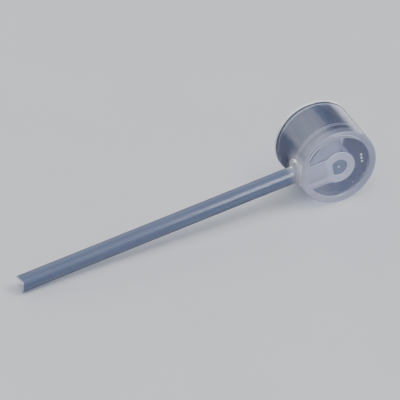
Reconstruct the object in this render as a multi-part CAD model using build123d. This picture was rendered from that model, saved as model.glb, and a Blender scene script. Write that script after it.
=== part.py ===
"""Push-on cap with a long side spout: cap moulding, spout tube and bond bead.

The cap lies on its side, as it does on a table. Its axis is Y: the closed front faces -Y
and the open mouth faces +Y. The tube leaves through the side wall towards -X and droops
until its tip touches the table. The origin is on the axis, where a stem in the socket stops.
"""
from build123d import *
import math
import os

# Cap moulding. Depths run along the axis, from the front face to the mouth.
CAP_RADIUS = 8.5
CAP_DEPTH = 12.75
WALL = 1.5
WALL_FLARE = 0.05
PLATE_THICKNESS = 1.25
FRONT_ROUNDING = 0.3

# Bead round the mouth, and the lead-in inside it.
RIM_RADIUS = 8.73
RIM_LENGTH = 0.65
RIM_ROUNDING = 0.15
LEAD_IN = 0.35

# Grip ring inside the skirt: a shallow groove, then a raised land.
GROOVE_DEPTHS = (2.35, 3.75)
GROOVE_STEP = 0.2
LAND_DEPTHS = (3.95, 4.65)
LAND_STEP = 0.18
LAND_SLOPE = 0.15

# Front plate: a shallow recess round a keyhole-shaped pad.
RECESS_DEPTH = 0.25
RECESS_RADIUS = 7.0
EDGE_ROUNDING = 0.09
HUB_RADIUS = 3.6
PAD_HALF_WIDTH = 2.85
PAD_BLEND = 0.8

# Dimple in the pad, flat on the tube's side, with the gate mark in it.
DIMPLE_RADIUS = 1.86
DIMPLE_FLAT = 1.35
DIMPLE_DEPTH = 0.25
GATE_RADIUS = 0.35
GATE_HEIGHT = 0.16

# Three moulded cavity dots in the recess.
DOT_RADIUS = 0.24
DOT_HEIGHT = 0.14
DOT_SPACING = 0.85
DOT_DISTANCE = 5.3

# Stem socket behind the pad.
SOCKET_RADIUS = 1.95
SOCKET_STOP = 4.7
HUB_END = 8.4
SOCKET_LEAD_IN = 0.25

# Spout tube, with a narrower spigot for its socket. Distances run from the cap's axis along it.
TUBE_RADIUS = 1.8
BORE_RADIUS = 1.3
TUBE_DEPTH = 3.47
TUBE_START = 3.35
TUBE_TIP = 71.2
SPIGOT_RADIUS = 1.63
SHOULDER_START = 8.85
HOUSING_RADIUS = 2.85

# Rounded V notch cut across the tip. Its valley line is turned from the front towards the top,
# and leans outwards, so that the tube is longest at its upper front.
NOTCH_DEPTH = 0.9
NOTCH_ROUNDING = 0.8
NOTCH_TURN = 40.0
NOTCH_LEAN = 17.5

# Bond bead round the spigot: (distance from the cap's axis, radius) down its outside.
BEAD_TOP = 8.8
BEAD_SHOULDER = (8.62, 2.35)
BEAD_FOOT = (7.55, 3.45)
BEAD_BOTTOM = 7.2

# The cap rests on its mouth bead, and the tube droops until its tip rests too.
DROOP = math.degrees(math.asin((RIM_RADIUS - TUBE_RADIUS) / TUBE_TIP))


def cylinder_y(radius, start, end):
    """Solid cylinder on the cap's axis between two depths."""
    outline = Polyline((0, start), (radius, start), (radius, end), (0, end), close=True)
    return revolve(make_face(outline), Axis.Y)


def cylinder_x(radius, start, end):
    """Solid cylinder on the tube's axis between two distances from the cap's axis."""
    place = Plane(origin=(-start, TUBE_DEPTH, 0), z_dir=(-1, 0, 0))
    return extrude(place * Circle(radius), amount=end - start)


def cap_envelope():
    """The outside of the cap, filled: a slightly flared drum with a bead at its mouth."""
    flare_radius = CAP_RADIUS + WALL_FLARE
    bead_start = CAP_DEPTH - RIM_LENGTH
    outline = Polyline(
        (0, 0),
        (CAP_RADIUS, 0),
        (flare_radius, bead_start),
        (RIM_RADIUS, bead_start + RIM_RADIUS - flare_radius),
        (RIM_RADIUS, CAP_DEPTH),
        (0, CAP_DEPTH),
        close=True,
    )
    drum = revolve(make_face(outline), Axis.Y)
    rings = drum.edges().filter_by(GeomType.CIRCLE).sort_by(Axis.Y)
    drum = fillet(rings[0], FRONT_ROUNDING)
    rings = drum.edges().filter_by(GeomType.CIRCLE).sort_by(Axis.Y)
    return fillet(rings[-1], RIM_ROUNDING)


def cavity():
    """The hollow of the skirt, with the groove and land of its grip ring and the lead-in."""
    bore = CAP_RADIUS - WALL
    groove_start, groove_end = GROOVE_DEPTHS
    land_start, land_end = LAND_DEPTHS
    outline = Polyline(
        (0, PLATE_THICKNESS),
        (bore, PLATE_THICKNESS),
        (bore, groove_start),
        (bore + GROOVE_STEP, groove_start + GROOVE_STEP),
        (bore + GROOVE_STEP, groove_end),
        (bore - LAND_STEP, land_start),
        (bore - LAND_STEP, land_end),
        (bore, land_end + LAND_SLOPE),
        (bore, CAP_DEPTH - LEAD_IN),
        (bore + LEAD_IN, CAP_DEPTH),
        (0, CAP_DEPTH),
        close=True,
    )
    return revolve(make_face(outline), Axis.Y)


def core():
    """Hub and duct housing, from the front plate back. The housing reaches into the wall."""
    hub = cylinder_y(HUB_RADIUS, PLATE_THICKNESS, HUB_END)
    reach = CAP_RADIUS - WALL / 2
    block = Location((-reach / 2, (PLATE_THICKNESS + TUBE_DEPTH) / 2, 0)) * Box(
        reach, TUBE_DEPTH - PLATE_THICKNESS, 2 * HOUSING_RADIUS
    )
    return hub + block + cylinder_x(HOUSING_RADIUS, 0, reach)


def front_sketch(shape):
    """Lay a flat shape, drawn with X to the right and Y up, on the front face."""
    return Plane(origin=(0, 0, 0), x_dir=(1, 0, 0), z_dir=(0, -1, 0)) * shape


def keyhole():
    """The pad's outline: a disc with a straight arm that runs to the tube's side."""
    arm = Location((-CAP_RADIUS / 2, 0)) * Rectangle(CAP_RADIUS, 2 * PAD_HALF_WIDTH)
    outline = Circle(HUB_RADIUS) + arm
    necks = outline.vertices().filter_by(lambda v: -HUB_RADIUS < v.X < -0.5)
    return fillet(necks, PAD_BLEND)


def recess():
    """The shallow recess in the front plate, round the keyhole-shaped pad."""
    outline = Circle(RECESS_RADIUS) - keyhole()
    return extrude(front_sketch(outline), amount=-RECESS_DEPTH)


def dimple():
    """The round dimple in the pad, with its flat."""
    cut = Location((-DIMPLE_FLAT - DIMPLE_RADIUS, 0)) * Rectangle(2 * DIMPLE_RADIUS, 2 * DIMPLE_RADIUS)
    return extrude(front_sketch(Circle(DIMPLE_RADIUS) - cut), amount=-DIMPLE_DEPTH)


def dome(radius, height, x, z, floor_depth):
    """A low round pip that stands forward from a floor at the given depth."""
    ball = (radius**2 + height**2) / (2 * height)
    centre = Location((x, floor_depth + ball - height, z)) * Sphere(ball)
    return centre - Location((x, floor_depth + ball, z)) * Box(4 * ball, 2 * ball, 4 * ball)


def front_marks():
    """The gate mark in the dimple and the row of cavity dots in the recess."""
    marks = [dome(GATE_RADIUS, GATE_HEIGHT, 0, 0, DIMPLE_DEPTH)]
    for step in (-1, 0, 1):
        marks.append(dome(DOT_RADIUS, DOT_HEIGHT, DOT_DISTANCE, step * DOT_SPACING, RECESS_DEPTH))
    return marks


def liquid_path():
    """Stem socket, the duct from it to the tube, and the socket that the tube is pushed into."""
    socket = cylinder_y(SOCKET_RADIUS, SOCKET_STOP, HUB_END)
    lead_in_start = HUB_END - SOCKET_LEAD_IN
    wide = SOCKET_RADIUS + SOCKET_LEAD_IN
    cone = [(0, lead_in_start), (SOCKET_RADIUS, lead_in_start), (wide, HUB_END), (0, HUB_END)]
    mouth = revolve(make_face(Polyline(*cone, close=True)), Axis.Y)
    riser = cylinder_y(BORE_RADIUS, TUBE_DEPTH, SOCKET_STOP)
    elbow = Location((0, TUBE_DEPTH, 0)) * Sphere(BORE_RADIUS)
    duct = cylinder_x(BORE_RADIUS, 0, TUBE_START)
    tube_socket = cylinder_x(SPIGOT_RADIUS, TUBE_START, CAP_RADIUS + 1)
    return socket + mouth + riser + elbow + duct + tube_socket


def soften_front(body):
    """Round the sharp edges where the recess and the dimple meet the front face."""
    front = body.faces().sort_by(Axis.Y)[0]
    edges = [edge for wire in front.inner_wires() for edge in wire.edges()]
    return fillet(edges, EDGE_ROUNDING)


def make_cap_body():
    """The whole moulding, in one piece."""
    body = cap_envelope() - cavity() + core()
    body = soften_front(body - recess() - dimple())
    for mark in front_marks():
        body = body + mark
    return body - liquid_path()


def tip_notch():
    """Cutter for the V across the tip: its sides reach the nominal tip at the tube's wall."""
    turn = math.radians(NOTCH_TURN)
    lean = math.radians(NOTCH_LEAN)
    across = Vector(0, -math.cos(turn), math.sin(turn))
    out = Vector(-1, 0, 0)
    valley = across * math.cos(lean) + out * math.sin(lean)
    middle = out * math.cos(lean) - across * math.sin(lean)
    place = Plane(origin=(NOTCH_DEPTH - TUBE_TIP, TUBE_DEPTH, 0), x_dir=middle, z_dir=valley)
    far, half_width = 3 * NOTCH_DEPTH * math.cos(lean), 3 * TUBE_RADIUS
    outline = Polyline((0, 0), (far, half_width), (far, -half_width), close=True)
    wedge = make_face(outline)
    wedge = fillet(wedge.vertices().sort_by(Axis.X)[0], NOTCH_ROUNDING)
    return extrude(place * wedge, amount=2 * TUBE_RADIUS, both=True)


def make_spout_tube():
    """The round tube, with a spigot at its hidden end and a shallow notch across its tip."""
    spigot = cylinder_x(SPIGOT_RADIUS, TUBE_START, SHOULDER_START)
    uncut_end = TUBE_TIP + NOTCH_DEPTH / 2
    tube = spigot + cylinder_x(TUBE_RADIUS, SHOULDER_START, uncut_end)
    return tube - cylinder_x(BORE_RADIUS, TUBE_START, uncut_end) - tip_notch()


def make_bond_bead():
    """The bead round the tube, rounded on its outside and seated on the cap's wall."""
    foot_distance, foot_radius = BEAD_FOOT
    shoulder_distance, shoulder_radius = BEAD_SHOULDER
    outline = [
        Line((BEAD_BOTTOM, 0), (BEAD_TOP, 0)),
        Line((BEAD_TOP, 0), (BEAD_TOP, TUBE_RADIUS)),
        Spline((BEAD_TOP, TUBE_RADIUS), (shoulder_distance, shoulder_radius), (foot_distance, foot_radius)),
        Line((foot_distance, foot_radius), (BEAD_BOTTOM, foot_radius)),
        Line((BEAD_BOTTOM, foot_radius), (BEAD_BOTTOM, 0)),
    ]
    half = mirror(make_face(outline), Plane.YZ)
    blob = Location((0, TUBE_DEPTH, 0)) * revolve(half, Axis.X)
    return blob - cap_envelope() - cylinder_x(SPIGOT_RADIUS, 0, TUBE_TIP)


def lay_down(shape):
    """Turn the part about the cap's axis into its resting pose, and set the origin."""
    return Location((0, -SOCKET_STOP, 0)) * Rotation(0, -DROOP, 0) * shape


def write(name, shape):
    solid = lay_down(shape)
    solid.label = name
    export_step(solid, f"parts/{name}.step")


os.makedirs("parts", exist_ok=True)
write("cap_body", make_cap_body())
write("spout_tube", make_spout_tube())
write("bond_bead", make_bond_bead())
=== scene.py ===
import math
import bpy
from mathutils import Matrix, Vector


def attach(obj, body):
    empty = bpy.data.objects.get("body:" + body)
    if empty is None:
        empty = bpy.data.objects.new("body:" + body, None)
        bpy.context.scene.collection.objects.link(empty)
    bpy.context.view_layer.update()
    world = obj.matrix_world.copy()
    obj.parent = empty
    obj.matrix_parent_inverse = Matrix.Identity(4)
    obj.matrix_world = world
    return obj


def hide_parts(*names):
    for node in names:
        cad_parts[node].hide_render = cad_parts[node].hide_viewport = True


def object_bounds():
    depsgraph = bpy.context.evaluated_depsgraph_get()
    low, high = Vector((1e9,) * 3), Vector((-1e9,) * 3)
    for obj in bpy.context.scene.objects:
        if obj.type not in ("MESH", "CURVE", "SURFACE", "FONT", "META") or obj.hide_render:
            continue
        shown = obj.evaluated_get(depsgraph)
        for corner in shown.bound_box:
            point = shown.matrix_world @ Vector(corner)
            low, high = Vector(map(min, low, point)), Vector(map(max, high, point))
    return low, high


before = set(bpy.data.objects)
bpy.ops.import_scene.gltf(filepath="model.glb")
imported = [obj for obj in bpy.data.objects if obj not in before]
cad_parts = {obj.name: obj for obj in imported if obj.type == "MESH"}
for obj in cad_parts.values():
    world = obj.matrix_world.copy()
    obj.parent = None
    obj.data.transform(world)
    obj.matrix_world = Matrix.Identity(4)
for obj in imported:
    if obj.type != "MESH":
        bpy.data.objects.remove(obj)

from types import SimpleNamespace

import bpy
from mathutils import Matrix, Vector

CAD_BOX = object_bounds()
MM = 0.001

# ---------------------------------------------------------------- sizes
# In mm and radians, the same as in the CAD. Depths run from the cap's front face towards
# its mouth, and distances along the tube run from the cap's axis.
CAP_RADIUS, SKIRT_RADIUS, RIM_RADIUS, RIM_START = 8.5, 7.0, 8.73, 12.1
PLATE_THICKNESS, RECESS_DEPTH, RECESS_RADIUS = 1.25, 0.25, 7.0
HUB_RADIUS, PAD_HALF_WIDTH, DIMPLE_RADIUS = 3.6, 2.85, 1.86
HOUSING_RADIUS, HOUSING_END = 2.85, 6.32
SOCKET_STOP = 4.7
TUBE_DEPTH, TUBE_RADIUS, BORE_RADIUS, SPIGOT_RADIUS = 3.47, 1.8, 1.3, 1.63
TUBE_START, SHOULDER, TUBE_TIP = 3.35, 8.85, 71.2
NOTCH_DEPTH, NOTCH_ROUNDING = 0.9, 0.8
NOTCH_TURN, NOTCH_LEAN = math.radians(40.0), math.radians(17.5)
DOT_RADIUS, DOT_DISTANCE, DOT_SPACING = 0.24, 5.3, 0.85
DROOP = math.asin((RIM_RADIUS - TUBE_RADIUS) / TUBE_TIP)

# Mesh of the tube: its sides, the rings on its straight run, the rounding of its edges,
# the rings beside its tip (distances from it), and the length that the notch draws back.
TUBE_SIDES, TUBE_RUNS = 128, 60
TUBE_EDGE = 0.07
TIP_RINGS = (1.5, 1.0, 0.6, 0.3, 0.15, TUBE_EDGE)
NOTCH_REACH = 4.0

# The bead: its mesh, its inner radius, its spread from the tube's axis at the front and
# how much more above and below, its top and highest top, and the depth of its foot in the
# cap's wall.
BEAD_SIDES, BEAD_STEPS = 160, 26
BEAD_BORE = SPIGOT_RADIUS + 0.1
BEAD_SPREAD, BEAD_WIDER = 2.72, 0.72
BEAD_TOP, BEAD_LIMIT = 8.8, 8.84
BEAD_SINK = 0.12
# What makes it uneven. Waves round it: number, height and phase. Lip that climbs the tube:
# height and width. Humps: height, radius and width, then angle and spread in degrees (a
# ridge on the upper front, two sags on the lower front). Bubble: depth and height from
# the cap's axis, then depth and width of its pit.
SPREAD_WAVES = ((3, 0.10, 0.7), (7, 0.04, 2.1), (13, 0.015, 0.0))
TOP_WAVES = ((2, 0.05, 1.0), (5, 0.03, 0.0))
BULGE = 0.10
LIP = (0.36, 0.16)
HUMPS = ((0.16, 2.92, 0.10, 142.0, 24.0), (0.20, 2.75, 0.30, 228.0, 7.0),
         (0.16, 2.75, 0.30, 246.0, 6.0))
BUBBLE, BUBBLE_PIT = (2.99, 2.73), (0.11, 0.10)

# Bands painted on the cap's wall, by depth: start, end, and softness of the sides.
# The light lines are painted highlights and the dark line is painted shade where the inner
# grooves' edges show through; then a painted highlight line before the rim, and painted
# shade in the neck behind it.
LIGHT_LINES = ((2.98, 3.14, 0.05), (3.5, 3.66, 0.05), (1.52, 1.62, 0.04))
DARK_LINE = (3.92, 4.15, 0.08)
GLOW_BAND = (11.3, 11.55, 0.08)
NECK_BAND = (11.66, 12.13, 0.03)

# Painted shade arcs and painted highlight arcs on the front, by radius: start, end, and
# softness of the sides.
RIPPLE_ARC = (6.15, 6.28, 0.1)
DARK_ARCS = ((7.2, 7.45, 0.04), (7.94, 8.12, 0.04))
LIGHT_ARC = (7.58, 7.8, 0.05)
BOW_ARC, BOW_CENTRE = (7.2, 7.34, 0.06), (-0.485, 0.72)

# The tube's milky end beside the bead, across the cap, and the pale edge at its tip, as
# distances from it: where each starts to fade in, and where it is full.
MILKY_END, PALE_EDGE = (-10.6, -9.0), (0.5, 0.2)

# Refractive index of the cap and bead, and of the tube.
CAP_IOR, TUBE_IOR = 1.49, 1.4

# Sockets of Blender's Mix node: factor and two values, then the result.
MIX_COLOUR = ("RGBA", (0, 6, 7), 2)
MIX_NUMBER = ("FLOAT", (0, 2, 3), 0)


# ---------------------------------------------------------------- node helpers
class Tree:
    """A material's nodes. A mask is a number from 0 to 1 that says where something is."""

    def __init__(self, name):
        self.mat = bpy.data.materials.new(name)
        self.mat.use_nodes = True
        self.nt = self.mat.node_tree
        self.nt.nodes.clear()
        self.out = self.add("OutputMaterial")
        self.bsdf = self.add("BsdfPrincipled")
        self.put(self.bsdf.outputs[0], self.out.inputs["Surface"])

    def add(self, kind):
        return self.nt.nodes.new("ShaderNode" + kind)

    def put(self, value, socket):
        """Link a socket to another, or set it to a number or colour."""
        if isinstance(value, bpy.types.NodeSocket):
            self.nt.links.new(value, socket)
        else:
            socket.default_value = value

    def set(self, **values):
        """Set the shader's own sockets, named with _ for a space."""
        for name, value in values.items():
            self.put(value, self.bsdf.inputs[name.replace("_", " ")])

    def math(self, operation, *values):
        node = self.add("Math")
        node.operation = operation
        for value, socket in zip(values, node.inputs):
            self.put(value, socket)
        return node.outputs[0]

    def weighted(self, a, weight_a, b, weight_b):
        """a times its weight, plus b times its weight."""
        return self.math("ADD", self.math("MULTIPLY", a, weight_a),
                         self.math("MULTIPLY", b, weight_b))

    def squares(self, a, b):
        """The sum of the squares of a and b."""
        return self.math("ADD", self.math("MULTIPLY", a, a), self.math("MULTIPLY", b, b))

    def distance(self, a, b):
        """The distance from (0, 0) to (a, b)."""
        return self.math("SQRT", self.squares(a, b))

    def step(self, value, low, high):
        """0 below low and 1 above high, or the reverse where low > high, smooth between."""
        node = self.add("MapRange")
        node.interpolation_type = "SMOOTHSTEP"
        node.clamp = True
        self.put(value, node.inputs["Value"])
        node.inputs["From Min"].default_value = min(low, high)
        node.inputs["From Max"].default_value = max(low, high)
        node.inputs["To Min"].default_value = float(low > high)
        node.inputs["To Max"].default_value = float(low <= high)
        return node.outputs[0]

    def band(self, value, low, high, soft):
        """1 between low and high, with soft sides."""
        return self.math("MULTIPLY", self.step(value, low - soft, low + soft),
                         self.step(value, high + soft, high - soft))

    def both(self, mask, *more):
        """Where every mask holds."""
        for other in more:
            mask = self.math("MULTIPLY", mask, other)
        return mask

    def either(self, mask, *more):
        """Where any mask holds."""
        for other in more:
            mask = self.math("MAXIMUM", mask, other)
        return mask

    def _between(self, mix, *values):
        kind, sockets, result = mix
        node = self.add("Mix")
        node.data_type = kind
        for value, socket in zip(values, sockets):
            self.put(value, node.inputs[socket])
        return node.outputs[result]

    def mix(self, factor, a, b):
        """A colour between a and b."""
        return self._between(MIX_COLOUR, factor, a, b)

    def lerp(self, factor, a, b):
        """A number between a and b."""
        return self._between(MIX_NUMBER, factor, a, b)

    def place(self):
        """The place on the object, in metres."""
        return self.add("TexCoord").outputs["Object"]

    def split(self, vector):
        node = self.add("SeparateXYZ")
        self.put(vector, node.inputs[0])
        return tuple(node.outputs)

    def join(self, x, y, z):
        node = self.add("CombineXYZ")
        for value, socket in zip((x, y, z), node.inputs):
            self.put(value, socket)
        return node.outputs[0]

    def noise(self, vector, scale, detail):
        node = self.add("TexNoise")
        self.put(vector, node.inputs["Vector"])
        node.inputs["Scale"].default_value = scale
        node.inputs["Detail"].default_value = detail
        return node.outputs["Fac"]

    def bump(self, height, strength, distance):
        node = self.add("Bump")
        self.put(height, node.inputs["Height"])
        node.inputs["Strength"].default_value = strength
        node.inputs["Distance"].default_value = distance
        return node.outputs[0]

    def moulded(self):
        """The place in mm in the cap's own frame: across, depth and up."""
        x, y, z = self.split(self.place())
        c, s = math.cos(DROOP) / MM, math.sin(DROOP) / MM
        across = self.weighted(x, c, z, s)
        up = self.weighted(z, c, x, -s)
        depth = self.math("MULTIPLY_ADD", y, 1 / MM, SOCKET_STOP)
        return across, depth, up

    def scatter(self, weight):
        """Spread a share of the light inside the milky plastic, over about 2 mm."""
        self.set(Subsurface_Weight=weight, Subsurface_Radius=(1.0, 1.0, 1.2),
                 Subsurface_Scale=0.002)

    def lamp_through(self, weight, tint):
        """Let a share of the lamps' light straight through, as thin plastic does."""
        path = self.add("LightPath")
        clear = self.add("BsdfTransparent")
        blend = self.add("MixShader")
        self.put(tint, clear.inputs["Color"])
        self.put(self.math("MULTIPLY", path.outputs["Is Shadow Ray"], weight), blend.inputs[0])
        self.put(self.bsdf.outputs[0], blend.inputs[1])
        self.put(clear.outputs[0], blend.inputs[2])
        self.put(blend.outputs[0], self.out.inputs["Surface"])


def rgb(r, g, b):
    return (r, g, b, 1.0)


# ---------------------------------------------------------------- the cap's plastic
# m holds the place on the cap, in mm, and the masks of its regions. Each step's limits
# stand just beside an edge of the CAD, or far apart where a tone fades.
def core_masks(t, m):
    """The front plate, and the hub and duct housing behind it."""
    behind = t.step(m.depth, PLATE_THICKNESS + 0.02, PLATE_THICKNESS + 0.15)
    hub = t.both(behind, t.step(m.radius, HUB_RADIUS + 0.25, HUB_RADIUS + 0.05))
    housing = t.both(behind, t.step(m.height, HOUSING_RADIUS + 0.15, HOUSING_RADIUS + 0.03),
                     t.step(m.across, 0.3, -0.3),
                     t.step(m.radius, SKIRT_RADIUS, SKIRT_RADIUS - 0.15),
                     t.step(m.depth, HOUSING_END + 0.28, HOUSING_END + 0.08))
    m.core = t.either(hub, housing)
    m.plate = t.both(t.step(m.depth, PLATE_THICKNESS + 0.15, PLATE_THICKNESS + 0.02),
                     t.step(m.radius, SKIRT_RADIUS + 0.12, SKIRT_RADIUS + 0.02))


def wall_masks(t, m):
    """The outside of the wall, from the front edge to the rim at the mouth."""
    m.edge = t.both(m.outside, t.step(m.depth, PLATE_THICKNESS + 0.5, PLATE_THICKNESS - 0.05))
    # painted shade: the wall's right side and underside are painted darker
    m.far = t.both(m.outside, t.either(t.step(m.across, 3.9, 5.2), t.step(m.up, -1.0, -3.5)))
    # painted highlights and painted shade where the inner grooves' edges show through the wall
    m.lines = t.both(m.outside, t.either(*(t.band(m.depth, *line) for line in LIGHT_LINES)))
    m.dark_line = t.both(m.outside, t.band(m.depth, *DARK_LINE))
    m.collar = t.both(m.outside, t.step(m.across, 1.0, -3.0), t.step(m.up, -3.0, 0.0),
                      t.step(m.depth, 4.4, 3.4))
    m.root = t.both(m.outside, t.step(m.across, -4.5, -8.0), t.step(m.depth, 7.5, 2.5),
                    t.step(m.height, 6.5, 2.5))
    # painted highlight: a light line on the wall just before the neck
    m.glow = t.both(m.outside, t.band(m.depth, *GLOW_BAND))
    # painted shade: the groove before the rim is painted near-black
    m.neck = t.both(m.outside, t.band(m.depth, *NECK_BAND))
    m.rim = t.step(m.depth, RIM_START + 0.03, RIM_START + 0.1)


def ring_masks(t, m):
    """The front face, and the painted highlight and painted shade arcs on its raised ring."""
    m.front = t.step(m.depth, RECESS_DEPTH + 0.02, RECESS_DEPTH - 0.13)
    bow_radius = t.distance(t.math("SUBTRACT", m.across, BOW_CENTRE[0]),
                            t.math("SUBTRACT", m.up, BOW_CENTRE[1]))
    # painted highlight: a bright arc across the ring's upper right
    m.bow = t.both(m.front, t.band(bow_radius, *BOW_ARC), t.step(m.across, -1.0, 0.5),
                   t.step(m.up, 4.6, 5.6))
    corner = t.both(m.front, t.step(m.across, -3.2, -3.9), t.step(m.up, 3.4, 4.2),
                    t.step(m.across, -6.5, -5.9))
    inner, outer = (t.band(m.radius, *arc) for arc in DARK_ARCS)
    # painted shade and a painted highlight along the ring's inner edge at the upper left
    m.crease = t.both(corner, t.either(inner, t.math("MULTIPLY", outer, 0.6)))
    m.ridge = t.both(corner, t.band(m.radius, *LIGHT_ARC))


def recess_masks(t, m):
    """Milkiness in the recess, and the three small raised dots in it, with painted highlights.
    """
    beside_tube = t.both(t.step(m.across, 1.0, -5.5), t.lerp(t.step(m.up, -4.0, 1.0), 0.4, 1.0))
    over_pad = t.both(t.step(m.across, 2.2, -0.4), t.step(m.up, 2.0, 3.6))
    m.haze = t.both(m.plate, t.either(beside_tube, over_pad))
    m.ripple = t.both(m.plate, t.band(m.radius, *RIPPLE_ARC), t.step(m.up, 0.5, -1.5))
    # folding the height twice about half the spacing lays the three dots on one place
    half = DOT_SPACING / 2
    folded = t.math("ABSOLUTE", t.math("SUBTRACT", m.height, half))
    folded = t.math("ABSOLUTE", t.math("SUBTRACT", folded, half))
    reach = t.distance(t.math("SUBTRACT", m.across, DOT_DISTANCE), folded)
    m.dots = t.both(t.step(reach, DOT_RADIUS + 0.06, DOT_RADIUS - 0.02),
                    t.step(m.depth, RECESS_DEPTH + 0.15, RECESS_DEPTH + 0.05),
                    t.step(m.height, DOT_SPACING + 0.35, DOT_SPACING + 0.25))


def pad_masks(t, m):
    """The keyhole-shaped pad, its dimple, the tube's socket that shows through its arm, and
    painted shade on the arm's upper side.
    """
    arm = t.both(t.step(m.height, PAD_HALF_WIDTH + 0.13, PAD_HALF_WIDTH + 0.05),
                 t.step(m.across, 0.0, -0.2), t.step(m.across, -7.6, -6.6))
    disc = t.step(m.radius, HUB_RADIUS + 0.2, HUB_RADIUS + 0.1)
    m.pad = t.both(m.front, t.either(arm, disc))
    m.dimple = t.both(t.step(m.radius, DIMPLE_RADIUS + 0.12, DIMPLE_RADIUS + 0.04),
                      t.band(m.depth, 0.2, 0.6, 0.04))
    m.inlet = t.both(m.pad, t.step(m.across, -2.2, -3.2))
    m.seam = t.both(m.inlet, t.band(m.up, -1.0, -0.84, 0.06), t.step(m.across, -3.4, -3.7))
    # painted shade: the upper side of the pad's arm is painted darker
    m.arm_side = t.both(t.band(m.up, PAD_HALF_WIDTH - 0.02, PAD_HALF_WIDTH + 0.05, 0.01),
                        t.step(m.depth, RECESS_DEPTH + 0.05, RECESS_DEPTH + 0.02),
                        t.step(m.across, -2.2, -3.4),
                        t.step(m.radius, RECESS_RADIUS - 0.02, RECESS_RADIUS - 0.06))


def cap_masks(t):
    """The place on the cap, and where each of its regions is."""
    across, depth, up = t.moulded()
    m = SimpleNamespace(across=across, depth=depth, up=up)
    m.radius, m.height = t.distance(across, up), t.math("ABSOLUTE", up)
    m.outside = t.step(m.radius, CAP_RADIUS - 0.35, CAP_RADIUS - 0.2)
    for add_masks in (core_masks, wall_masks, ring_masks, recess_masks, pad_masks):
        add_masks(t, m)
    return m


def cap_layers(t, m):
    """Mask, strength, colour and clearness of each layer, from the lowest to the top one."""
    front = t.mix(t.step(m.across, -9.0, 9.0), rgb(0.52, 0.52, 0.63), rgb(0.39, 0.41, 0.54))
    return (
        (m.plate, 1.0, rgb(0.47, 0.50, 0.62), 0.86),
        (m.core, 1.0, rgb(0.60, 0.61, 0.72), 0.1),
        # painted shade on the wall's right side and underside
        (m.far, 0.75, rgb(0.25, 0.265, 0.36), 0.6),
        (m.edge, 1.0, rgb(0.22, 0.25, 0.35), 0.45),
        # painted highlight lines and a painted shade line at the inner grooves' edges
        (m.lines, 0.8, rgb(0.54, 0.57, 0.69), 0.3),
        (m.dark_line, 0.7, rgb(0.08, 0.10, 0.18), 0.5),
        (m.collar, 0.45, rgb(0.42, 0.44, 0.55), 0.3),
        (m.root, 1.0, rgb(0.95, 0.93, 1.0), 0.15),
        (m.front, 1.0, front, 0.2),
        # painted highlight arc on the ring
        (m.bow, 1.0, rgb(0.95, 0.96, 1.0), 0.1),
        # painted shade arcs, then a painted highlight arc, along the ring's inner edge
        (m.crease, 1.0, rgb(0.08, 0.10, 0.17), 0.3),
        (m.ridge, 0.8, rgb(0.86, 0.86, 0.96), 0.2),
        (m.haze, 0.62, rgb(0.56, 0.57, 0.68), 0.35),
        (m.ripple, 0.4, rgb(0.64, 0.67, 0.80), 0.5),
        (m.pad, 1.0, rgb(0.68, 0.69, 0.86), 0.3),
        (m.inlet, 1.0, rgb(0.66, 0.67, 0.83), 0.44),
        (m.seam, 0.5, rgb(0.28, 0.31, 0.42), 0.4),
        # painted shade on the upper side of the pad's arm
        (m.arm_side, 0.8, rgb(0.32, 0.34, 0.45), 0.3),
        (m.dimple, 1.0, rgb(0.27, 0.32, 0.44), 0.25),
        # painted highlights on the raised dots
        (m.dots, 1.0, rgb(0.74, 0.77, 0.86), 0.1),
        # painted highlight line before the neck
        (m.glow, 0.6, rgb(0.42, 0.45, 0.57), 0.4),
        # painted shade in the groove before the rim
        (m.neck, 1.0, rgb(0.03, 0.035, 0.06), 0.1),
        # painted highlight: the rim is painted near-white for its bright outline
        (m.rim, 1.0, rgb(0.95, 0.96, 1.0), 0.05),
    )


def streaks(t, place, squeeze, scale, detail):
    """Noise on the place squeezed along the cap's axis, so that it runs out into streaks."""
    x, y, z = t.split(place)
    return t.noise(t.join(x, t.math("MULTIPLY", y, squeeze), z), scale, detail)


def wall_plastic(t, m, place):
    """The wall's clear plastic, in cloudy cool and warm tones that run along the cap."""
    cloud = t.noise(place, scale=160.0, detail=2.0)
    broad = streaks(t, place, squeeze=0.05, scale=240.0, detail=1.0)
    flow = t.both(m.outside, t.step(broad, 0.42, 0.58))
    cool = t.mix(cloud, rgb(0.08, 0.105, 0.185), rgb(0.12, 0.155, 0.25))
    warm = t.mix(cloud, rgb(0.12, 0.125, 0.185), rgb(0.17, 0.17, 0.24))
    return t.mix(flow, cool, warm)


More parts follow.
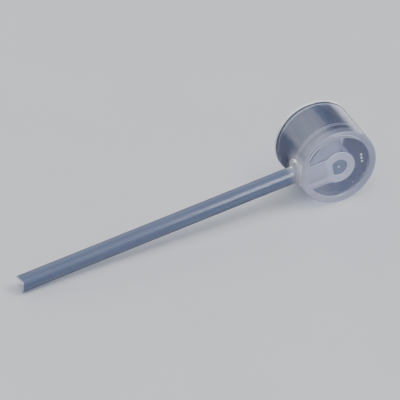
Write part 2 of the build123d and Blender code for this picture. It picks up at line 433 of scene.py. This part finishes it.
def cap_plastic():
    """Translucent moulded plastic: a clear drawn wall, and milky plate, pad and core."""
    t = Tree("cap_plastic")
    place = t.place()
    m = cap_masks(t)
    colour, clear = wall_plastic(t, m, place), 0.66
    for mask, strength, tone, see in cap_layers(t, m):
        weight = mask if strength == 1.0 else t.math("MULTIPLY", mask, strength)
        colour = t.mix(weight, colour, tone)
        clear = t.lerp(weight, clear, see)
    fine = streaks(t, place, squeeze=0.06, scale=2400.0, detail=2.0)
    streak = t.both(m.outside, t.step(fine, 0.42, 0.66))
    colour = t.mix(t.math("MULTIPLY", streak, 0.2), colour, rgb(0.34, 0.37, 0.48))
    speck = t.both(m.outside, t.step(t.noise(place, scale=4200.0, detail=1.0), 0.66, 0.74))
    colour = t.mix(t.math("MULTIPLY", speck, 0.35), colour, rgb(0.60, 0.62, 0.70))
    grain = t.lerp(m.outside, t.noise(place, scale=900.0, detail=4.0),
                   streaks(t, place, squeeze=0.12, scale=900.0, detail=3.0))
    gloss = t.math("ADD", t.lerp(m.outside, 0.04, 0.19), t.math("MULTIPLY", grain, 0.1))
    gloss = t.lerp(m.neck, t.lerp(m.rim, gloss, 0.08), 0.5)
    t.set(Base_Color=colour, Transmission_Weight=clear, Roughness=gloss, IOR=CAP_IOR,
          Normal=t.bump(grain, strength=0.05, distance=0.00003))
    t.scatter(weight=0.3)
    t.lamp_through(t.lerp(m.core, 0.92, 0.4), tint=rgb(0.90, 0.92, 0.97))
    return t.mat


# ---------------------------------------------------------------- the other materials
def tube_plastic():
    """Clear drawn tube: faint streaks, a milky end by the bead and a pale edge at the tip."""
    t = Tree("tube_plastic")
    across, depth, up = t.moulded()
    grain = t.noise(t.place(), scale=500.0, detail=4.0)
    drawn = t.noise(t.join(t.math("MULTIPLY", across, 0.03), depth, up), scale=1.6, detail=3.0)
    behind = t.math("SUBTRACT", depth, TUBE_DEPTH)
    turn_c, turn_s = math.cos(NOTCH_TURN), math.sin(NOTCH_TURN)
    from_valley = t.math("ABSOLUTE", t.weighted(behind, turn_s, up, turn_c))
    toward_front = t.weighted(up, turn_s, behind, -turn_c)
    cut = t.weighted(from_valley, NOTCH_DEPTH / TUBE_RADIUS, toward_front, math.tan(NOTCH_LEAN))
    from_end = t.math("ADD", t.math("ADD", across, TUBE_TIP - NOTCH_DEPTH), cut)
    tip = t.step(from_end, *PALE_EDGE)
    colour = t.mix(drawn, rgb(0.13, 0.165, 0.27), rgb(0.21, 0.25, 0.37))
    colour = t.mix(t.step(across, *MILKY_END), colour, rgb(0.42, 0.43, 0.53))
    t.set(Base_Color=t.mix(tip, colour, rgb(0.50, 0.54, 0.66)),
          Transmission_Weight=t.lerp(tip, 0.3, 0.15), Roughness=t.lerp(grain, 0.11, 0.17),
          IOR=TUBE_IOR, Normal=t.bump(drawn, strength=0.02, distance=0.00003))
    t.lamp_through(weight=0.7, tint=rgb(0.75, 0.79, 0.88))
    return t.mat


def bead_plastic():
    """Milky, cloudy adhesive with one dark bubble in it."""
    t = Tree("bead_plastic")
    place = t.place()
    _, depth, up = t.moulded()
    grain = t.noise(place, scale=900.0, detail=4.0)
    cloud = t.noise(place, scale=420.0, detail=2.0)
    milky = t.mix(cloud, rgb(0.56, 0.55, 0.66), rgb(0.70, 0.685, 0.80))
    gap = t.squares(t.math("SUBTRACT", up, BUBBLE[1]), t.math("SUBTRACT", depth, BUBBLE[0]))
    t.set(Base_Color=t.mix(t.step(gap, 0.05, 0.02), milky, rgb(0.12, 0.13, 0.20)),
          Transmission_Weight=0.25, Roughness=t.lerp(grain, 0.1, 0.25), IOR=CAP_IOR,
          Normal=t.bump(grain, strength=0.1, distance=0.00004))
    t.scatter(weight=0.4)
    t.lamp_through(weight=0.3, tint=rgb(0.85, 0.87, 0.9))
    return t.mat


def floor_material():
    """Plain, pale and matt, with a very faint grain."""
    t = Tree("pale_floor")
    grain = t.noise(t.place(), scale=40.0, detail=3.0)
    t.set(Base_Color=t.mix(grain, rgb(0.64, 0.65, 0.68), rgb(0.68, 0.69, 0.72)), Roughness=0.45)
    return t.mat


# ---------------------------------------------------------------- meshes
def row(x, depth, z):
    """A place in the cap's own frame, in mm, as a place in the scene, in metres."""
    c, s = math.cos(DROOP), math.sin(DROOP)
    return ((x * c - z * s) * MM, (depth - SOCKET_STOP) * MM, (x * s + z * c) * MM)


def around(sides):
    """The number of each side of a ring, and of the one after it."""
    return [(i, (i + 1) % sides) for i in range(sides)]


def smooth(value):
    """0 up to 0 and 1 from 1, smooth between."""
    value = min(1.0, max(0.0, value))
    return value * value * (3 - 2 * value)


def hump(value, middle, width):
    """A smooth rise to 1 at the middle."""
    return math.exp(-(((value - middle) / width) ** 2))


def make_piece(name, verts, faces, mat, slot, replaced):
    """A smooth-shaded piece that rides on the body and stands for a CAD node."""
    mesh = bpy.data.meshes.new(name)
    mesh.from_pydata(verts, [], faces)
    mesh.validate()
    mesh.update()
    for polygon in mesh.polygons:
        polygon.use_smooth = True
    obj = bpy.data.objects.new(name, mesh)
    bpy.context.collection.objects.link(obj)
    obj.data.materials.append(mat)
    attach(obj, "root")
    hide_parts(replaced)
    return obj


def notch_cut(w):
    """How far the notch cuts the tube back on average, w mm across from its valley line."""
    slope = NOTCH_DEPTH / TUBE_RADIUS
    beta = math.atan(1 / slope)
    if abs(w) >= NOTCH_ROUNDING * math.cos(beta):
        return NOTCH_DEPTH - abs(w) * slope
    bottom = NOTCH_DEPTH - NOTCH_ROUNDING / math.sin(beta)
    return bottom + math.sqrt(NOTCH_ROUNDING**2 - w * w)


def tube_runs(start, end):
    """Evenly spaced distances along the straight run of the tube."""
    return [start + (end - start) * k / TUBE_RUNS for k in range(TUBE_RUNS + 1)]


def tube_outline():
    """The tube's section, as (distance, radius): out along the outside, back in the bore."""
    start, end = SHOULDER + 0.5, TUBE_TIP - 2.0
    corner = 0.3 * TUBE_EDGE
    return [
        (TUBE_START, BORE_RADIUS),
        (TUBE_START, SPIGOT_RADIUS - TUBE_EDGE),
        (TUBE_START + TUBE_EDGE, SPIGOT_RADIUS),
        *((s, SPIGOT_RADIUS) for s in (5.0, 7.0, SHOULDER - 0.02)),
        (SHOULDER, SPIGOT_RADIUS + 0.02),
        (SHOULDER, TUBE_RADIUS - TUBE_EDGE),
        (SHOULDER + TUBE_EDGE, TUBE_RADIUS),
        *((s, TUBE_RADIUS) for s in tube_runs(start, end)),
        *((TUBE_TIP - d, TUBE_RADIUS) for d in TIP_RINGS),
        (TUBE_TIP - corner, TUBE_RADIUS - corner),
        (TUBE_TIP, TUBE_RADIUS - TUBE_EDGE),
        (TUBE_TIP, 0.5 * (TUBE_RADIUS + BORE_RADIUS)),
        (TUBE_TIP, BORE_RADIUS + TUBE_EDGE),
        (TUBE_TIP - corner, BORE_RADIUS + corner),
        *((TUBE_TIP - d, BORE_RADIUS) for d in reversed(TIP_RINGS)),
        *((s, BORE_RADIUS) for s in tube_runs(end, start)),
    ]


def tube_mesh():
    """The tube, with the rings near its tip drawn back to the leaning notch."""
    outline = tube_outline()
    turn_c, turn_s = math.cos(NOTCH_TURN), math.sin(NOTCH_TURN)
    verts, faces = [], []
    for s, r in outline:
        drawn_back = smooth((s - (TUBE_TIP - NOTCH_REACH)) / NOTCH_REACH)
        for i in range(TUBE_SIDES):
            phi = 2 * math.pi * i / TUBE_SIDES
            y, z = r * math.cos(phi), r * math.sin(phi)
            toward_front = turn_s * z - turn_c * y
            cut = notch_cut(turn_s * y + turn_c * z) - toward_front * math.tan(NOTCH_LEAN)
            verts.append(row(-(s - cut * drawn_back), TUBE_DEPTH + y, z))
    for j in range(len(outline)):
        a, b = j * TUBE_SIDES, (j + 1) % len(outline) * TUBE_SIDES
        faces += [(a + i, a + n, b + n, b + i) for i, n in around(TUBE_SIDES)]
    return verts, faces


def waves(phi, table):
    """The sum of the waves in a table at this angle."""
    return sum(height * math.sin(number * phi + phase) for number, height, phase in table)


def bead_point(t, phi):
    """A point on the bead, from its top on the tube (t = 0) to its foot on the wall (t = 1),
    as (distance, radius). The angle phi runs from the mouth's side over the top."""
    back, side, turn = math.cos(phi), math.sin(phi), math.degrees(phi)
    reach = BEAD_SPREAD + BEAD_WIDER * side * side + waves(phi, SPREAD_WAVES)
    foot = math.sqrt(CAP_RADIUS**2 - (reach * side) ** 2) - BEAD_SINK
    top = min(BEAD_TOP + waves(phi, TOP_WAVES), BEAD_LIMIT)
    fall = math.cos(t * math.pi / 2)
    r = BEAD_BORE + (reach - BEAD_BORE) * (1 - fall) ** 0.8
    s = foot + (top - foot) * fall**0.75
    lumps = 1 + 0.5 * math.sin(4 * phi + 2.0) + 0.2 * math.sin(9 * phi + 5 * t)
    r += BULGE * math.sin(math.pi * t) * lumps
    lip_height, lip_width = LIP
    s += lip_height * hump(r, BEAD_BORE, lip_width)
    for height, radius, width, angle, spread in HUMPS:
        s += height * hump(r, radius, width) * hump(turn, angle, spread)
    from_bubble = math.hypot(r * back + TUBE_DEPTH - BUBBLE[0], r * side - BUBBLE[1])
    pit_depth, pit_width = BUBBLE_PIT
    s -= pit_depth * hump(from_bubble, 0.0, pit_width)
    return s, r


def bead_mesh():
    """An uneven blob round the tube where it meets the cap's wall."""
    angles = [2 * math.pi * i / BEAD_SIDES for i in range(BEAD_SIDES)]
    verts, faces = [], []
    for j in range(BEAD_STEPS):
        for phi in angles:
            s, r = bead_point(j / (BEAD_STEPS - 1), phi)
            verts.append(row(-s, TUBE_DEPTH + r * math.cos(phi), r * math.sin(phi)))
    # the ring under it, just inside the cap's wall
    for phi in angles:
        y, z = BEAD_BORE * math.cos(phi), BEAD_BORE * math.sin(phi)
        verts.append(row(-(math.sqrt(CAP_RADIUS**2 - z * z) - BEAD_SINK), TUBE_DEPTH + y, z))
    # down the outside, across the underside, and up the bore to the first ring again
    rings = BEAD_STEPS + 1
    for j in range(rings):
        a, b = j * BEAD_SIDES, (j + 1) % rings * BEAD_SIDES
        faces += [(a + i, b + i, b + n, a + n) for i, n in around(BEAD_SIDES)]
    return verts, faces


# ---------------------------------------------------------------- pieces
cap_material = cap_plastic()
for material_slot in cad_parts["cap_body"].material_slots:
    material_slot.material = cap_material
tube = make_piece("clear_tube", *tube_mesh(), tube_plastic(), "tube_plastic", "spout_tube")
make_piece("uneven_bead", *bead_mesh(), bead_plastic(), "bead_plastic", "bond_bead")

# ---------------------------------------------------------------- floor
FLOOR_Z, FLOOR_HALF = CAD_BOX[0].z, 3.0
floor_corners = [(x * FLOOR_HALF, y * FLOOR_HALF, FLOOR_Z)
                 for x, y in ((-1, -1), (1, -1), (1, 1), (-1, 1))]
floor_mesh = bpy.data.meshes.new("floor")
floor_mesh.from_pydata(floor_corners, [], [(0, 1, 2, 3)])
floor = bpy.data.objects.new("floor", floor_mesh)
bpy.context.collection.objects.link(floor)
floor.data.materials.append(floor_material())
floor.visible_glossy = False

# ---------------------------------------------------------------- lights
AIM = Vector((-0.02, 0.0, 0.0))


def toward(azimuth, elevation):
    """The direction from the object to a place at these angles. The front is azimuth 0."""
    flat = math.cos(elevation)
    return Vector((math.sin(azimuth) * flat, -math.cos(azimuth) * flat, math.sin(elevation)))


def set_place(obj, x_axis, y_axis, z_axis, origin):
    """Put a lamp or camera in the scene. It looks along -z_axis."""
    turn = Matrix((x_axis, y_axis, z_axis)).transposed().to_4x4()
    turn.translation = origin
    obj.matrix_world = turn
    bpy.context.collection.objects.link(obj)


def lamp(name, place, side, size, power, colour, shine=True, fill=True):
    """A soft, oblong lamp at a place, facing the object, with its width along side.
    Shine says whether it shows in gloss, and fill whether it lights matt surfaces."""
    back = (place - AIM).normalized()
    across = (side - back * back.dot(side)).normalized()
    data = bpy.data.lights.new(name, "AREA")
    data.shape = "RECTANGLE"
    data.size, data.size_y = size
    data.energy = power
    data.color = colour
    obj = bpy.data.objects.new(name, data)
    obj.visible_camera = False
    obj.visible_glossy = shine
    obj.visible_diffuse = fill
    set_place(obj, across, back.cross(across), back, place)
    return obj


def softbox(name, azimuth, elevation, distance, size, power, colour, **seen):
    """A lamp at these angles, in degrees, and this distance from the object."""
    azimuth, elevation = math.radians(azimuth), math.radians(elevation)
    place = AIM + toward(azimuth, elevation) * distance
    side = Vector((math.cos(azimuth), math.sin(azimuth), 0.0))
    return lamp(name, place, side, size, power, colour, **seen)


def leave_out(light, piece):
    """The lamp doesn't light this piece."""
    others = bpy.data.collections.new(light.name + "_left_out")
    light.light_linking.receiver_collection = others
    others.objects.link(piece)
    for entry in others.collection_objects:
        entry.light_linking.link_state = "EXCLUDE"


panel = softbox("back_softbox", 197.0, 26.0, distance=0.8, size=(0.92, 0.62), power=4.6,
                colour=(0.95, 0.97, 1.0), fill=False)
leave_out(panel, tube)
softbox("back_fill", 197.0, 26.0, distance=0.8, size=(0.92, 0.62), power=2.0,
        colour=(1.0, 0.99, 0.97), shine=False)
softbox("front_softbox", 49.0, 54.0, distance=0.9, size=(0.35, 0.25), power=4.6,
        colour=(0.97, 0.98, 1.0), shine=False)
strip = lamp("tube_strip", Vector((0.283, -0.566, 0.566)), Vector((1.0, 0.041, 0.041)),
             size=(0.3, 0.58), power=8.5, colour=(0.90, 0.90, 1.0), fill=False)
strip.visible_transmission = False
softbox("side_card", 139.0, -9.0, distance=0.8, size=(0.45, 0.38), power=1.25,
        colour=(0.94, 0.93, 1.0), fill=False)
softbox("top_fill", 0.0, 80.0, distance=0.9, size=(0.6, 0.6), power=3.2,
        colour=(1.0, 1.0, 1.0), shine=False)

# the sky is dimmer in gloss than in the light it gives, so the lamps stand out there
SKY_STRENGTH, SKY_IN_GLOSS = 0.5, 0.12
world = bpy.data.worlds.new("studio")
world.use_nodes = True
sky = world.node_tree.nodes["Background"]
sky.inputs["Color"].default_value = rgb(0.85, 0.87, 0.92)
ray = world.node_tree.nodes.new("ShaderNodeLightPath")
dim = world.node_tree.nodes.new("ShaderNodeMapRange")
dim.inputs["To Min"].default_value = SKY_STRENGTH
dim.inputs["To Max"].default_value = SKY_IN_GLOSS
world.node_tree.links.new(ray.outputs["Is Glossy Ray"], dim.inputs["Value"])
world.node_tree.links.new(dim.outputs[0], sky.inputs["Strength"])
bpy.context.scene.world = world

# ---------------------------------------------------------------- camera
# It looks from the front left and above. What it looks at is given from the foot of the
# front face, in mm to the right and upwards as the camera sees them.
AZIMUTH, ELEVATION, ROLL = math.radians(-22.540), math.radians(35.575), math.radians(-3.711)
DISTANCE, SENSOR_WIDTH, LENS = 1.5, 36.0, 654.966
IMAGE_WIDTH = 400
LOOK_RIGHT, LOOK_UP = -28.839, 2.197

back = toward(AZIMUTH, ELEVATION)
right = Vector((math.cos(AZIMUTH), math.sin(AZIMUTH), 0.0))
up = back.cross(right)
camera_x = math.cos(ROLL) * right + math.sin(ROLL) * up
camera_y = -math.sin(ROLL) * right + math.cos(ROLL) * up
half_pixel = 0.5 * DISTANCE * SENSOR_WIDTH / (LENS * IMAGE_WIDTH)
front_foot = Vector((0, -SOCKET_STOP, -RIM_RADIUS)) * MM
target = (LOOK_RIGHT * right + LOOK_UP * up) * MM + front_foot
target = target - camera_x * half_pixel + camera_y * half_pixel

data = bpy.data.cameras.new("camera")
data.sensor_width = SENSOR_WIDTH
data.lens = LENS
data.clip_start, data.clip_end = 0.1, 20.0
camera = bpy.data.objects.new("camera", data)
set_place(camera, camera_x, camera_y, back, target + back * DISTANCE)
bpy.context.scene.camera = camera
